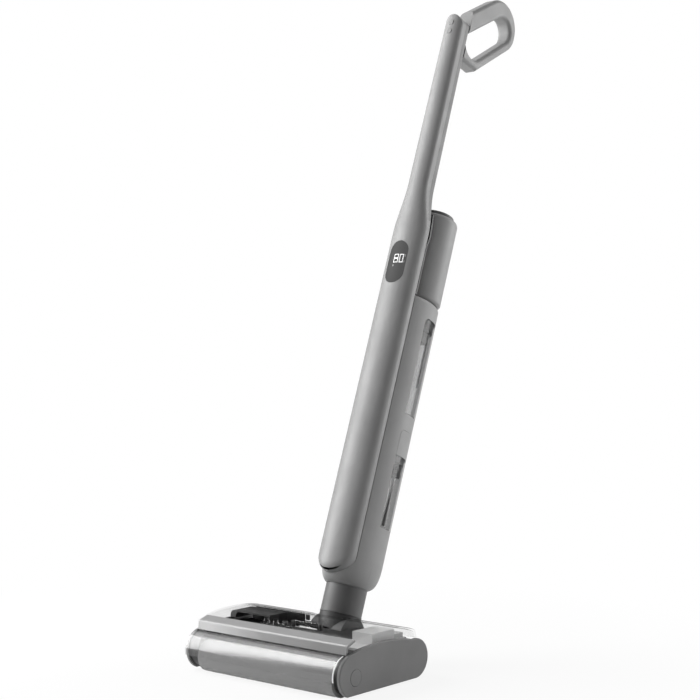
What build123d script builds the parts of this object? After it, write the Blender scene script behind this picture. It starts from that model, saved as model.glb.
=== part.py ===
"""Cordless wet and dry floor scrubber: a low roller head, a reclining neck and a long upright body.

Millimetres, +Z up, -Y to the front, +X to the side of the roller release button.
The origin is the middle of the floor wiper's contact face. The body leans back on its recline pin,
as it does in use. Each piece is one solid, or one group of like solids, in its own file.
"""

import os
from math import cos, radians, sin, sqrt

from build123d import *

os.makedirs("parts", exist_ok=True)

# Fits
fit_gap = 0.4  # free gap between pieces that move apart
seat_gap = 0.2  # gap between pieces seated in one another
run_gap = 0.05  # radial running fit of a pin, shaft or bush
wall = 2.5  # moulded wall

# Head outline, seen from the side
head_width = 290.0
plate_thickness = 5.0
plate_bottom = 3.0
head_front = -48.5
head_rear = 142.5
nose_start_y = -31.5
nose_z = 32.0
nose_end_y = -27.5
nose_end_z = 57.5
crown_y = 32.5
crown_z = 65.0
tail_start_y = 110.5
tail_start_z = 58.0
tail_z = 29.0
tail_end_y = 115.5
plate_round = 1.5

# Roller and its drive
roller_radius = 23.0
roller_y = -27.5
roller_core_radius = 18.0
roller_core_wall = 2.0
roller_left_gap = 3.1
roller_right_gap = 0.8
hub_depth = 14.0
roller_shaft_radius = 5.0
bush_wall = 3.0
bush_length = 4.0
roller_pulley_radius = 11.5
motor_pulley_radius = 6.0
pulley_width = 8.0
belt_thickness = 1.6
belt_width = 6.0
drive_motor_radius = 17.0
drive_motor_length = 62.0
drive_motor_y = 52.0
drive_motor_z = 31.0
drive_shaft_radius = 2.5

# Head chassis
chassis_front = 1.5
chassis_inset = 2.5
hood_gap = 2.0
hood_wall = 5.5
hood_sweep = 100.0
right_frame_thickness = 7.0
belt_case_width = 17.7
wiper_thickness = 3.0
wiper_end_gap = 4.1
wiper_height = 12.0
scraper_gap = 0.4
scraper_start = 12.0
scraper_sweep = 12.0
inlet_half_width = 28.0
inlet_low = 9.0
inlet_high = 22.0
duct_half_width = 30.0
duct_height = 30.0
duct_rear_gap = 3.0

# Deck under the clear cover
deck_thickness = 3.0
deck_top_z = 60.0
deck_wing_y = 108.0
shelf_front_y = 33.0
shelf_top_z = 75.0
hood_width = 64.1
right_shelf_width = 34.8
hood_side_gap = 3.5
hood_front_y = 34.0
hood_rear_y = 72.0
hood_top_z = 77.0
hood_floor_z = 66.5  # clear of the belt case
hood_rim = 11.0
hood_roof = 2.0
hood_pocket = 32.0
hood_round = 8.0
seal_side_gap = 6.5
seal_front_y = 84.0
seal_thickness = 3.0
seal_top_z = 74.8
manifold_length = 55.0
manifold_width = 13.0
manifold_height = 10.0
manifold_x = -36.5
manifold_y = 24.0
nozzle_radius = 5.0
nozzle_height = 6.0
nozzle_pitch = 18.0
nozzle_count = 3
circuit_box_length = 30.0
circuit_box_depth = 24.0
circuit_box_height = 6.0

# Clear cover, cross bar and front shield, which lift off together
cover_inset = 2.5
cover_wall = 2.0
cover_front_y = -27.0
cover_front_z = 69.6
cover_brow_y = -6.0
cover_brow_z = 76.3
cover_top_y = 41.0
cover_top_z = 80.8
cover_back_y = 94.5
cover_back_z = 76.8
cover_rear_y = 115.5
cover_rear_z = 70.4
cover_foot_y = 119.5
cover_foot_gap = 1.0
bar_front_y = -27.5
bar_front_z = 69.8
bar_rear_y = -11.0
bar_rear_z = 75.2
bar_lip_y = -30.0
bar_lip_z = 57.6
bar_thickness = 3.0
bar_round = 4.0
shield_wall = 2.0
shield_mid_y = -49.3
shield_mid_z = 47.8
shield_foot_y = -54.6
shield_foot_z = 24.5
cover_lift_notch = 34.0

# Roller release button in the right side plate
release_y = -15.5
release_z = 26.4
release_radius = 11.3
release_proud = 0.3
release_thickness = 4.2
release_travel = 2.5

# Rear wheels, contacts and screws
wheel_radius = 15.0
wheel_width = 12.0
wheel_inset = 18.1
wheel_y = 108.0
tyre_thickness = 3.0
wheel_axle_radius = 2.5
wheel_side_gap = 1.0
lug_thickness = 4.0
lug_depth = 16.0
contact_x = 58.0
contact_width = 14.0
contact_height = 8.0
contact_proud = 0.8
contact_depth = 6.0
screw_radius = 3.0
screw_depth = 1.4
screw_inset = 32.1
screw_front_y = 24.0
screw_rear_y = 88.0

# Recline pivot, yoke and neck
lean = 20.0
pivot_y = 112.8
pivot_z = 44.0
neck_radius = 30.7
barrel_radius = 29.0
barrel_half = 30.5
cheek_gap = 1.0
cheek_thickness = 5.0
cheek_depth = 40.0
cheek_top_z = 57.0
pivot_pin_radius = 6.0
pivot_pin_grip = 10.0
yoke_height = 30.0
yoke_bore = 20.0
spigot_radius = 26.45
spigot_height = 14.0
ring_height = 1.4
ring_proud = 0.5
neck_top = 71.6

# Body section, measured from the neck's axis: half width, half depth and how far its middle lies behind
body_half_width = 38.5
body_half_depth = 52.0
body_back_shift = 1.5
body_bottom = 72.0
bowl_join_radius = 31.0
bowl_top = 110.0
pod_margin = 27.0  # housing left above the upper bay
housing_round = 6.0
pod_seam_gap = 0.6
bay_front = -2.0
bulkhead = 2.5
clean_bay_bottom = 165.0
clean_bay_height = 151.0
bay_rib = 24.0
dirty_bay_height = 154.0
bay_corner = 8.0
shelf = 3.0

# Spine: the light front cover that narrows into the stick; depths are in front of the neck's axis
spine_half_width = 31.0
spine_bulge = 19.0
spine_front = 56.5
spine_rear = 30.5
spine_corner = 1.0
spine_bottom = 83.0
spine_tip_round = 13.0
shoulder_rise = 97.0  # from the pod seam to the shoulder
shoulder_height = 82.0
shoulder_steps = 6
stick_half_width = 18.5
stick_top_half_width = 17.0
stick_bulge = 11.0
stick_front = 55.5
stick_rear = 21.5
stick_top_rear = 22.8
stick_corner = 9.0
stick_length = 297.0
stick_split = 36.0
stick_back_drop = 23.5  # below the top of the pod
spine_seam_gap = 1.0

# Motor pod behind the shoulder
pod_radius = 37.0
pod_back = 14.3
pod_height = 144.5
pod_edge_round = 8.0
pod_foot_round = 6.0
pod_cap_height = 6.0
pod_cap_inset = 8.0
pod_slope_rise = 79.0
pod_top_front = 19.5
pod_plate_inset = 0.5  # inside the outline of the spine
pod_plate_top_half = 22.5
pod_plate = 3.0
pod_web_half = 10.0
air_hole_radius = 16.0

# Inner pieces of the body
battery_half_width = 23.0
battery_thickness = 20.0
battery_front = 45.0
battery_low = 250.0
battery_length = 220.0
board_half_width = 20.0
board_thickness = 1.6
board_front = 40.0
board_drop = 31.0
board_length = 120.0
pipe_radius = 8.0
pipe_wall = 1.5
pipe_back = -12.9
pipe_low = 47.0
pipe_rise = 22.0  # into the upper bay
pump_radius = 14.0
pump_low = 114.0
pump_length = 44.0
pump_back = 22.0
motor_radius = 29.0
motor_back = 10.0
motor_rise = 41.0
motor_length = 66.0
fan_radius = 27.0
fan_height = 12.0
fan_gap = 4.0
fan_blades = 9
fan_blade_thickness = 1.6
fan_hub_radius = 8.0
fan_shaft_radius = 3.0
fan_shaft_length = 30.0
filter_radius = 24.0
filter_height = 12.0
filter_gap = 5.0

# Display and buttons
display_rise = 9.7
display_length = 69.5
display_half_width = 17.0
button_radius = 4.4
power_button_drop = 15.0
button_pitch = 16.0
button_proud = 0.5
button_depth = 3.0

# Handle loop behind the top of the stick, given by the four corners of its finger hole
handle_half_width = 13.5
handle_low_bar = 15.0
handle_rear_bar = 17.0
handle_top_bar = 30.0
handle_foot_drop = 65.0
handle_low_round = 37.0
handle_top_round = 43.0
hole_front = 22.7
hole_rear = 84.0
hole_front_low_drop = 88.5
hole_front_high_drop = 21.6
hole_rear_low_rise = 27.8
hole_rear_high_rise = 86.0
hole_heel_round = 24.0
hole_rear_round = 20.0
hole_front_round = 8.0
handle_edge_round = 6.5

# Tanks
tank_wall = 2.2
dirty_lid_height = 14.0
strainer_height = 16.0
strainer_half_width = 20.0
strainer_depth = 24.0
float_radius = 8.0
float_height = 18.0
float_rise = 75.0
float_rod_radius = 2.0
float_side = -14.0
float_back = 27.0
probe_radius = 2.2
probe_rise = 53.0
probe_side = 19.0
probe_back = 36.0
cap_height = 40.0
cap_plug = 10.0
valve_radius = 9.0
valve_height = 18.0
pickup_radius = 2.2
pickup_clear = 6.0
pickup_side = 17.0
pickup_back = 30.0
latch_half_width = 14.0
latch_rise = 7.2
latch_height = 26.0
latch_depth = 6.0
latch_pocket = 10.0

# Places worked out from the driving dimensions
side_x = head_width / 2
plate_inner_x = side_x - plate_thickness
frame_x = plate_inner_x - seat_gap
chassis_bottom = plate_bottom + chassis_inset
chassis_left = -frame_x + belt_case_width
chassis_right = frame_x - right_frame_thickness
roller_left = chassis_left + roller_left_gap
roller_right = chassis_right - roller_right_gap
wiper_length = 2 * (-chassis_left - wiper_end_gap)
cover_half = side_x - cover_inset
cover_inner = cover_half - cover_wall
hood_left_x = hood_side_gap - cover_inner
hood_inner_x = chassis_left + hood_width
seal_left_x = seal_side_gap - cover_inner
right_shelf_inner_x = chassis_right - right_shelf_width
wheel_x = -chassis_left - wheel_inset
screw_x = -chassis_left - screw_inset
release_pocket = release_travel + fit_gap - (plate_thickness - release_thickness) + seat_gap
right_bush_length = right_frame_thickness - release_pocket - seat_gap
belt_x = -frame_x + belt_case_width / 2 - 1.0
roller_z = roller_radius
hood_inner = roller_radius + hood_gap
hood_outer = hood_inner + hood_wall
neck_slot = barrel_half + cheek_gap
cheek_outer = neck_slot + cheek_thickness
clean_bay_top = clean_bay_bottom + clean_bay_height
dirty_bay_bottom = clean_bay_top + bay_rib
dirty_bay_top = dirty_bay_bottom + dirty_bay_height
pod_seam = dirty_bay_top + pod_margin
pod_top = pod_seam + pod_height
pod_slope_start = pod_seam + pod_slope_rise
shoulder_low = pod_seam + shoulder_rise
shoulder_high = shoulder_low + shoulder_height
stick_top = shoulder_high + stick_length
stick_back_low = pod_top - stick_back_drop
battery_high = battery_low + battery_length
board_low = pod_seam - board_drop
board_high = board_low + board_length
pipe_high = dirty_bay_bottom + pipe_rise
motor_low = pod_seam + motor_rise
motor_high = motor_low + motor_length
display_low = pod_seam + display_rise
display_high = display_low + display_length
power_button_at = stick_top - power_button_drop
mode_button_at = power_button_at - button_pitch
handle_foot = stick_top - handle_foot_drop
hole_front_low = stick_top - hole_front_low_drop
hole_front_high = stick_top - hole_front_high_drop
hole_rear_low = stick_top + hole_rear_low_rise
hole_rear_high = stick_top + hole_rear_high_rise
float_low = dirty_bay_bottom + float_rise
probe_low = dirty_bay_bottom + probe_rise
clean_window_top = clean_bay_top - cap_height
latch_low = clean_window_top + latch_rise
latch_high = latch_low + latch_height
pivot = Vector(0, pivot_y, pivot_z)
up_axis = Vector(0, sin(radians(lean)), cos(radians(lean)))
back_axis = Vector(0, cos(radians(lean)), -sin(radians(lean)))
body_plane = Plane(origin=pivot, x_dir=(1, 0, 0), z_dir=up_axis)
side_plane = Plane(origin=pivot, x_dir=back_axis, z_dir=(1, 0, 0))
front_plane = Plane(origin=pivot, x_dir=(1, 0, 0), z_dir=back_axis * -1)
far = 400.0  # longer than any cut needs
from_corner = (Align.MIN, Align.MIN, Align.MIN)


def save(piece, name):
    """Label a finished piece and write its file."""
    piece.label = name
    export_step(piece, f"parts/{name}.step")


def plate_outline(inset=0.0):
    """Side outline of the head: round nose, low crown, round tail and a flat bottom."""
    with BuildSketch() as outline:
        with BuildLine():
            nose = ThreePointArc((nose_start_y, plate_bottom), (head_front, nose_z), (nose_end_y, nose_end_z))
            crown = ThreePointArc(nose @ 1, (crown_y, crown_z), (tail_start_y, tail_start_z))
            tail = ThreePointArc(crown @ 1, (head_rear, tail_z), (tail_end_y, plate_bottom))
            Line(tail @ 1, nose @ 0)
        make_face()
        if inset:
            offset(amount=-inset, mode=Mode.REPLACE)
    return outline.sketch


def across(x):
    """Plane facing +X at the given place across the head; its own axes are Y and Z."""
    return Plane.YZ.offset(x)


# Side plates, the right one with the hole for the release button
with BuildPart() as side_plate_right:
    with BuildSketch(across(plate_inner_x)):
        add(plate_outline())
    extrude(amount=plate_thickness)
    fillet(side_plate_right.faces().sort_by(Axis.X)[-1].edges(), plate_round)
    with BuildSketch(across(plate_inner_x)):
        with Locations((release_y, release_z)):
            Circle(release_radius + seat_gap)
    extrude(amount=plate_thickness, mode=Mode.SUBTRACT)
save(side_plate_right.part, "side_plate_right")

with BuildPart() as side_plate_left:
    with BuildSketch(across(-side_x)):
        add(plate_outline())
    extrude(amount=plate_thickness)
    fillet(side_plate_left.faces().sort_by(Axis.X)[0].edges(), plate_round)
save(side_plate_left.part, "side_plate_left")

release_depth = release_thickness + release_proud
with BuildPart() as release_button:
    with BuildSketch(across(side_x - release_thickness)):
        with Locations((release_y, release_z)):
            Circle(release_radius - seat_gap)
    extrude(amount=release_depth)
    fillet(release_button.faces().sort_by(Axis.X)[-1].edges(), release_proud)
save(release_button.part, "release_button")

# Black end frames that carry the roller: a thin one on the right, the belt case on the left
bush_radius = roller_shaft_radius + run_gap + bush_wall
with BuildPart() as right_end_frame:
    with BuildSketch(across(chassis_right)):
        add(plate_outline(chassis_inset))
        with Locations((roller_y, roller_z)):
            Circle(bush_radius, mode=Mode.SUBTRACT)
    extrude(amount=right_frame_thickness)
    with BuildSketch(across(frame_x - release_pocket)):
        with Locations((release_y, release_z)):
            Circle(release_radius + seat_gap)
    extrude(amount=release_pocket, mode=Mode.SUBTRACT)
save(right_end_frame.part, "right_end_frame")

with BuildPart() as belt_case:
    with BuildSketch(across(-frame_x)):
        add(plate_outline(chassis_inset))
    extrude(amount=belt_case_width)
    with BuildSketch(across(-frame_x)):
        add(plate_outline(chassis_inset + wall))
    extrude(amount=belt_case_width - bush_length, mode=Mode.SUBTRACT)
    with BuildSketch(across(-frame_x)):
        with Locations((roller_y, roller_z)):
            Circle(bush_radius)
        with Locations((drive_motor_y, drive_motor_z)):
            Circle(drive_shaft_radius + run_gap + bush_wall)
    extrude(amount=belt_case_width, mode=Mode.SUBTRACT)
save(belt_case.part, "belt_case")

# Roller: core, sleeve and two end plugs; the left plug carries the pulley
roller_length = roller_right - roller_left
with BuildPart() as roller_core:
    with BuildSketch(across(roller_left)):
        with Locations((roller_y, roller_z)):
            Circle(roller_core_radius)
            Circle(roller_core_radius - roller_core_wall, mode=Mode.SUBTRACT)
    extrude(amount=roller_length)
save(roller_core.part, "roller_core")

with BuildPart() as roller_sleeve:
    with BuildSketch(across(roller_left)):
        with Locations((roller_y, roller_z)):
            Circle(roller_radius)
            Circle(roller_core_radius, mode=Mode.SUBTRACT)
    extrude(amount=roller_length)
save(roller_sleeve.part, "roller_sleeve")

roller_plug_radius = roller_core_radius - roller_core_wall
left_shaft_end = belt_x - pulley_width / 2 - 1.0
with BuildPart() as roller_drive_hub:
    with BuildSketch(across(roller_left)):
        with Locations((roller_y, roller_z)):
            Circle(roller_plug_radius)
    extrude(amount=hub_depth)
    with BuildSketch(across(left_shaft_end)):
        with Locations((roller_y, roller_z)):
            Circle(roller_shaft_radius)
    extrude(amount=roller_left - left_shaft_end)
save(roller_drive_hub.part, "roller_drive_hub")

with BuildPart() as roller_end_plug:
    with BuildSketch(across(roller_right - hub_depth)):
        with Locations((roller_y, roller_z)):
            Circle(roller_plug_radius)
    extrude(amount=hub_depth)
    with BuildSketch(across(roller_right)):
        with Locations((roller_y, roller_z)):
            Circle(roller_shaft_radius)
    extrude(amount=chassis_right + right_bush_length - roller_right)
save(roller_end_plug.part, "roller_end_plug")


def bush(x, length, y, z, shaft_radius):
    """Plain bearing ring for a shaft across the head."""
    with BuildPart() as ring:
        with BuildSketch(across(x)):
            with Locations((y, z)):
                Circle(shaft_radius + run_gap + bush_wall)
                Circle(shaft_radius + run_gap, mode=Mode.SUBTRACT)
        extrude(amount=length)
    return ring.part


with BuildPart() as shaft_bushes:
    add(bush(chassis_right, right_bush_length, roller_y, roller_z, roller_shaft_radius))
    add(bush(chassis_left - bush_length, bush_length, roller_y, roller_z, roller_shaft_radius))
    add(bush(chassis_left - bush_length, bush_length, drive_motor_y, drive_motor_z, drive_shaft_radius))
save(shaft_bushes.part, "shaft_bushes")

# Belt drive in the belt case
pulley_start = belt_x - pulley_width / 2
with BuildPart() as roller_pulley:
    with BuildSketch(across(pulley_start)):
        with Locations((roller_y, roller_z)):
            Circle(roller_pulley_radius)
            Circle(roller_shaft_radius, mode=Mode.SUBTRACT)
    extrude(amount=pulley_width)
save(roller_pulley.part, "roller_pulley")

motor_left = chassis_left + wall + seat_gap
shaft_left = pulley_start - 1.0
shaft_reach = drive_motor_length / 2
with BuildPart() as motor_pulley:
    with BuildSketch(across(pulley_start)):
        with Locations((drive_motor_y, drive_motor_z)):
            Circle(motor_pulley_radius)
    extrude(amount=pulley_width)
    with BuildSketch(across(shaft_left)):
        with Locations((drive_motor_y, drive_motor_z)):
            Circle(drive_shaft_radius)
    extrude(amount=motor_left + shaft_reach - shaft_left)
save(motor_pulley.part, "motor_pulley")

with BuildPart() as drive_motor:
    with BuildSketch(across(motor_left)):
        with Locations((drive_motor_y, drive_motor_z)):
            Circle(drive_motor_radius)
    extrude(amount=drive_motor_length)
    with BuildSketch(across(motor_left)):
        with Locations((drive_motor_y, drive_motor_z)):
            Circle(drive_shaft_radius + run_gap)
    extrude(amount=shaft_reach + fit_gap, mode=Mode.SUBTRACT)
save(drive_motor.part, "drive_motor")

with BuildPart() as drive_belt:
    for ring_offset, ring_mode in ((fit_gap + belt_thickness, Mode.ADD), (fit_gap, Mode.SUBTRACT)):
        with BuildSketch(across(belt_x - belt_width / 2)):
            with Locations((roller_y, roller_z)):
                Circle(roller_pulley_radius + ring_offset)
            with Locations((drive_motor_y, drive_motor_z)):
                Circle(motor_pulley_radius + ring_offset)
            make_hull()
        extrude(amount=belt_width, mode=ring_mode)
save(drive_belt.part, "drive_belt")

# Chassis: a tray behind the roller, a hood over it, cheeks for the recline pins and lugs for the wheels
chassis_length = chassis_right - chassis_left
tray_top = deck_top_z - deck_thickness
lug_shift = wheel_width / 2 + wheel_side_gap + lug_thickness / 2
with BuildPart() as head_chassis:
    with BuildSketch(across(chassis_left)):
        add(plate_outline(chassis_inset))
        with Locations((chassis_front, plate_bottom)):
            Rectangle(far, far, align=(Align.MAX, Align.CENTER), mode=Mode.SUBTRACT)
    extrude(amount=chassis_length)
    with BuildSketch(across(chassis_left + wall)):
        add(plate_outline(chassis_inset + wall))
        with Locations((chassis_front + wall, plate_bottom)):
            Rectangle(far, far, align=(Align.MAX, Align.CENTER), mode=Mode.SUBTRACT)
    extrude(amount=chassis_length - 2 * wall, mode=Mode.SUBTRACT)
    with Locations((0, 0, tray_top)):
        Box(far, far, far, align=(Align.CENTER, Align.CENTER, Align.MIN), mode=Mode.SUBTRACT)
    # The hood over the roller
    with BuildSketch(across(chassis_left)):
        with BuildLine():
            inner_arc = CenterArc((roller_y, roller_z), hood_inner, 0, hood_sweep)
            outer_arc = CenterArc((roller_y, roller_z), hood_outer, 0, hood_sweep)
            Line(inner_arc @ 0, outer_arc @ 0)
            Line(inner_arc @ 1, outer_arc @ 1)
        make_face()
    extrude(amount=chassis_length)
    # Open back between the cheeks, where the neck swings down
    with Locations((0, pivot_y - barrel_radius - cheek_gap, chassis_bottom + 2 * wall)):
        Box(2 * neck_slot, far, far, align=(Align.CENTER, Align.MIN, Align.MIN), mode=Mode.SUBTRACT)
    with Locations((neck_slot + cheek_thickness / 2, 0, 0), (-neck_slot - cheek_thickness / 2, 0, 0)):
        with Locations((0, pivot_y, chassis_bottom + wall)):
            Box(
                cheek_thickness,
                cheek_depth,
                cheek_top_z - chassis_bottom - wall,
                align=(Align.CENTER, Align.CENTER, Align.MIN),
            )
    with BuildSketch(across(-cheek_outer)):
        with Locations((pivot_y, pivot_z)):
            Circle(pivot_pin_radius)
    extrude(amount=2 * cheek_outer, mode=Mode.SUBTRACT)
    # Way through the left wall for the drive shaft
    with BuildSketch(across(chassis_left)):
        with Locations((drive_motor_y, drive_motor_z)):
            Circle(drive_shaft_radius + bush_wall)
    extrude(amount=wall, mode=Mode.SUBTRACT)
    # Suction mouth behind the roller
    with Locations((0, chassis_front, (inlet_low + inlet_high) / 2)):
        Box(2 * inlet_half_width, 4 * wall, inlet_high - inlet_low, mode=Mode.SUBTRACT)
    # Wheel wells and the lugs that carry the axles
    with Locations((wheel_x, wheel_y, 0), (-wheel_x, wheel_y, 0)):
        Box(
            wheel_width + 2 * wheel_side_gap,
            2 * (wheel_radius + wheel_side_gap),
            2 * chassis_bottom + 4 * wall,
            mode=Mode.SUBTRACT,
        )
        with Locations((lug_shift, 0, 0), (-lug_shift, 0, 0)):
            with Locations((0, 0, chassis_bottom + wall)):
                Box(lug_thickness, lug_depth, wheel_radius, align=(Align.CENTER, Align.CENTER, Align.MIN))
    with BuildSketch(across(-far / 2)):
        with Locations((wheel_y, wheel_radius)):
            Circle(wheel_axle_radius)
    extrude(amount=far, mode=Mode.SUBTRACT)
    # Screw recesses underneath and pockets for the charging contacts
    with BuildSketch(Plane.XY.offset(chassis_bottom)):
        with Locations(*[(x, y) for x in (-screw_x, screw_x) for y in (screw_front_y, screw_rear_y)]):
            Circle(screw_radius)
    extrude(amount=screw_depth, mode=Mode.SUBTRACT)
    with Locations((contact_x, head_rear, tail_z), (-contact_x, head_rear, tail_z)):
        Box(contact_width, 2 * contact_depth, contact_height, mode=Mode.SUBTRACT)
save(head_chassis.part, "head_chassis")

with BuildPart() as base_screws:
    with BuildSketch(Plane.XY.offset(chassis_bottom)):
        with Locations(*[(x, y) for x in (-screw_x, screw_x) for y in (screw_front_y, screw_rear_y)]):
            Circle(screw_radius)
    extrude(amount=screw_depth)
save(base_screws.part, "base_screws")

contact_face_y = head_rear - chassis_inset + contact_proud
with BuildPart() as charge_contacts:
    with Locations((contact_x, contact_face_y, tail_z), (-contact_x, contact_face_y, tail_z)):
        Box(
            contact_width,
            contact_depth + contact_proud - chassis_inset,
            contact_height,
            align=(Align.CENTER, Align.MAX, Align.CENTER),
        )
save(charge_contacts.part, "charge_contacts")

# Rubber: the floor wiper behind the roller and the scraper strip inside the hood
with BuildPart() as floor_wiper:
    with Locations((0, chassis_front - wiper_thickness, 0)):
        Box(wiper_length, wiper_thickness, wiper_height, align=(Align.CENTER, Align.MIN, Align.MIN))
save(floor_wiper.part, "floor_wiper")

with BuildPart() as roller_scraper:
    with BuildSketch(across(roller_left)):
        with BuildLine():
            inner_arc = CenterArc(
                (roller_y, roller_z), roller_radius + scraper_gap, scraper_start, scraper_sweep
            )
            outer_arc = CenterArc((roller_y, roller_z), hood_inner, scraper_start, scraper_sweep)
            Line(inner_arc @ 0, outer_arc @ 0)
            Line(inner_arc @ 1, outer_arc @ 1)
        make_face()
    extrude(amount=roller_length)
save(roller_scraper.part, "roller_scraper")

# Suction duct from the mouth to the neck
duct_front = chassis_front + wall
duct_rear = pivot_y - barrel_radius - duct_rear_gap
duct_low = chassis_bottom + wall
with BuildPart() as suction_duct:
    with Locations((0, duct_front, duct_low + 1.0)):
        Box(
            2 * duct_half_width,
            duct_rear - duct_front,
            duct_height,
            align=(Align.CENTER, Align.MIN, Align.MIN),
        )
    fillet(suction_duct.edges().filter_by(Axis.Y), wall)
    with Locations((0, duct_front, duct_low + 1.0 + wall / 2)):
        Box(
            2 * duct_half_width - wall,
            duct_rear - duct_front,
            duct_height - wall,
            align=(Align.CENTER, Align.MIN, Align.MIN),
            mode=Mode.SUBTRACT,
        )
save(suction_duct.part, "suction_duct")

# Deck over the tray: a hollow hood at the left that reaches over the belt case, a shelf at the right
deck_front = chassis_front + wall
deck_rear = pivot_y - neck_radius - cheek_gap
with BuildPart() as inner_deck:
    with Locations(((chassis_left + chassis_right) / 2, deck_front, tray_top)):
        Box(
            chassis_length,
            deck_wing_y - deck_front,
            deck_thickness,
            align=(Align.CENTER, Align.MIN, Align.MIN),
        )
    hood_depth = hood_rear_y - hood_front_y
    with Locations((chassis_left, hood_front_y, tray_top)):
        Box(hood_width, hood_depth, hood_top_z - tray_top, align=from_corner)
    with Locations((hood_left_x, hood_front_y, hood_floor_z)):
        Box(chassis_left - hood_left_x, hood_depth, hood_top_z - hood_floor_z, align=from_corner)
    fillet(inner_deck.edges().filter_by(Axis.Y).group_by(Axis.Z)[-1].sort_by(Axis.X)[0], hood_round)
    pocket_left = hood_left_x + hood_rim
    pocket_right = hood_inner_x - wall
    with BuildSketch(Plane.XZ.offset(-hood_front_y)):
        with Locations(((pocket_left + pocket_right) / 2, (deck_top_z + hood_top_z - hood_roof) / 2)):
            RectangleRounded(pocket_right - pocket_left, hood_top_z - hood_roof - deck_top_z, hood_round - hood_roof)
    extrude(amount=-hood_pocket, mode=Mode.SUBTRACT)
    with Locations((right_shelf_inner_x, shelf_front_y, tray_top)):
        Box(right_shelf_width, deck_rear - shelf_front_y, shelf_top_z - tray_top, align=from_corner)
    # Upright seal wall along the crest, left of the neck
    for low_x, low_z in ((seal_left_x, hood_floor_z), (chassis_left, tray_top)):
        with Locations((low_x, seal_front_y, low_z)):
            Box(-low_x, seal_thickness, seal_top_z - low_z, align=from_corner)
    with Locations((0, pivot_y - neck_radius - cheek_gap, 0)):
        Box(2 * cheek_outer + fit_gap, far, far, align=(Align.CENTER, Align.MIN, Align.CENTER), mode=Mode.SUBTRACT)
save(inner_deck.part, "inner_deck")

nozzle_places = [(i - (nozzle_count - 1) / 2) * nozzle_pitch for i in range(nozzle_count)]
with BuildPart() as spray_manifold:
    with Locations((manifold_x, manifold_y, deck_top_z)):
        Box(manifold_length, manifold_width, manifold_height, align=(Align.CENTER, Align.CENTER, Align.MIN))
    fillet(spray_manifold.edges().filter_by(Axis.Z), manifold_width / 3)
    with BuildSketch(Plane.XY.offset(deck_top_z + manifold_height)):
        with Locations(*[(manifold_x + x, manifold_y) for x in nozzle_places]):
            Circle(nozzle_radius)
    extrude(amount=nozzle_height, taper=12)
save(spray_manifold.part, "spray_manifold")

with BuildPart() as circuit_box:
    with Locations((right_shelf_inner_x, deck_wing_y, deck_top_z)):
        Box(circuit_box_length, circuit_box_depth, circuit_box_height, align=(Align.MIN, Align.MAX, Align.MIN))
    fillet(circuit_box.edges().filter_by(Axis.Z), wall)
save(circuit_box.part, "circuit_box")

# Clear cover: a curved lid with end walls that stand on the side plates' crowns


def cover_profile(inset):
    """Side outline of the lid, its foot a little above the side plates; the inset one runs out through the foot."""
    with BuildSketch() as outline:
        with BuildLine():
            top = Spline(
                (cover_front_y, cover_front_z - inset),
                (cover_brow_y, cover_brow_z - inset),
                (cover_top_y, cover_top_z - inset),
                (cover_back_y, cover_back_z - inset),
                (cover_rear_y - inset, cover_rear_z - inset),
            )
            foot_gap = cover_foot_gap - inset
            rear = Line(top @ 1, (cover_foot_y - inset, tail_start_z + foot_gap))
            under = ThreePointArc(
                rear @ 1,
                (crown_y, crown_z + foot_gap),
                (cover_front_y, nose_end_z + foot_gap),
            )
            Line(under @ 1, top @ 0)
        make_face()
    return outline.sketch


with BuildPart() as top_cover:
    with BuildSketch(across(-cover_half)):
        add(cover_profile(0))
    extrude(amount=2 * cover_half)
    with BuildSketch(across(-cover_inner)):
        add(cover_profile(cover_wall))
    extrude(amount=2 * cover_inner, mode=Mode.SUBTRACT)
    # The cross bar takes the front of the lid between the end walls
    with Locations((0, bar_rear_y + seat_gap, 0)):
        Box(
            2 * cover_inner,
            far,
            far,
            align=(Align.CENTER, Align.MAX, Align.CENTER),
            mode=Mode.SUBTRACT,
        )
    with Locations((0, pivot_y - cover_lift_notch, 0)):
        Box(2 * cheek_outer + 2 * fit_gap, far, far, align=(Align.CENTER, Align.MIN, Align.CENTER), mode=Mode.SUBTRACT)
save(top_cover.part, "top_cover")

bar_half = plate_inner_x - fit_gap
with BuildPart() as cross_bar:
    with BuildSketch(across(-bar_half)):
        with BuildLine():
            Polyline(
                (bar_lip_y, bar_lip_z),
                (bar_front_y, bar_front_z),
                (bar_rear_y, bar_rear_z),
                (bar_rear_y, bar_rear_z - bar_thickness),
                (bar_front_y + bar_thickness, bar_front_z - bar_thickness),
                (bar_lip_y + bar_thickness, bar_lip_z),
                close=True,
            )
        make_face()
    extrude(amount=2 * bar_half)
    fillet(cross_bar.edges().filter_by(Axis.X).group_by(Axis.Y)[1], bar_round)
save(cross_bar.part, "cross_bar")

with BuildPart() as roller_shield:
    with BuildSketch(across(-bar_half)):
        with BuildLine():
            skin = ThreePointArc(
                (bar_lip_y, bar_lip_z - seat_gap),
                (shield_mid_y, shield_mid_z),
                (shield_foot_y, shield_foot_z),
            )
            inner = ThreePointArc(
                (bar_lip_y + shield_wall, bar_lip_z - seat_gap),
                (shield_mid_y + shield_wall, shield_mid_z - seat_gap),
                (shield_foot_y + shield_wall, shield_foot_z),
            )
            Line(skin @ 0, inner @ 0)
            Line(skin @ 1, inner @ 1)
        make_face()
    extrude(amount=2 * bar_half)
save(roller_shield.part, "roller_shield")

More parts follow.
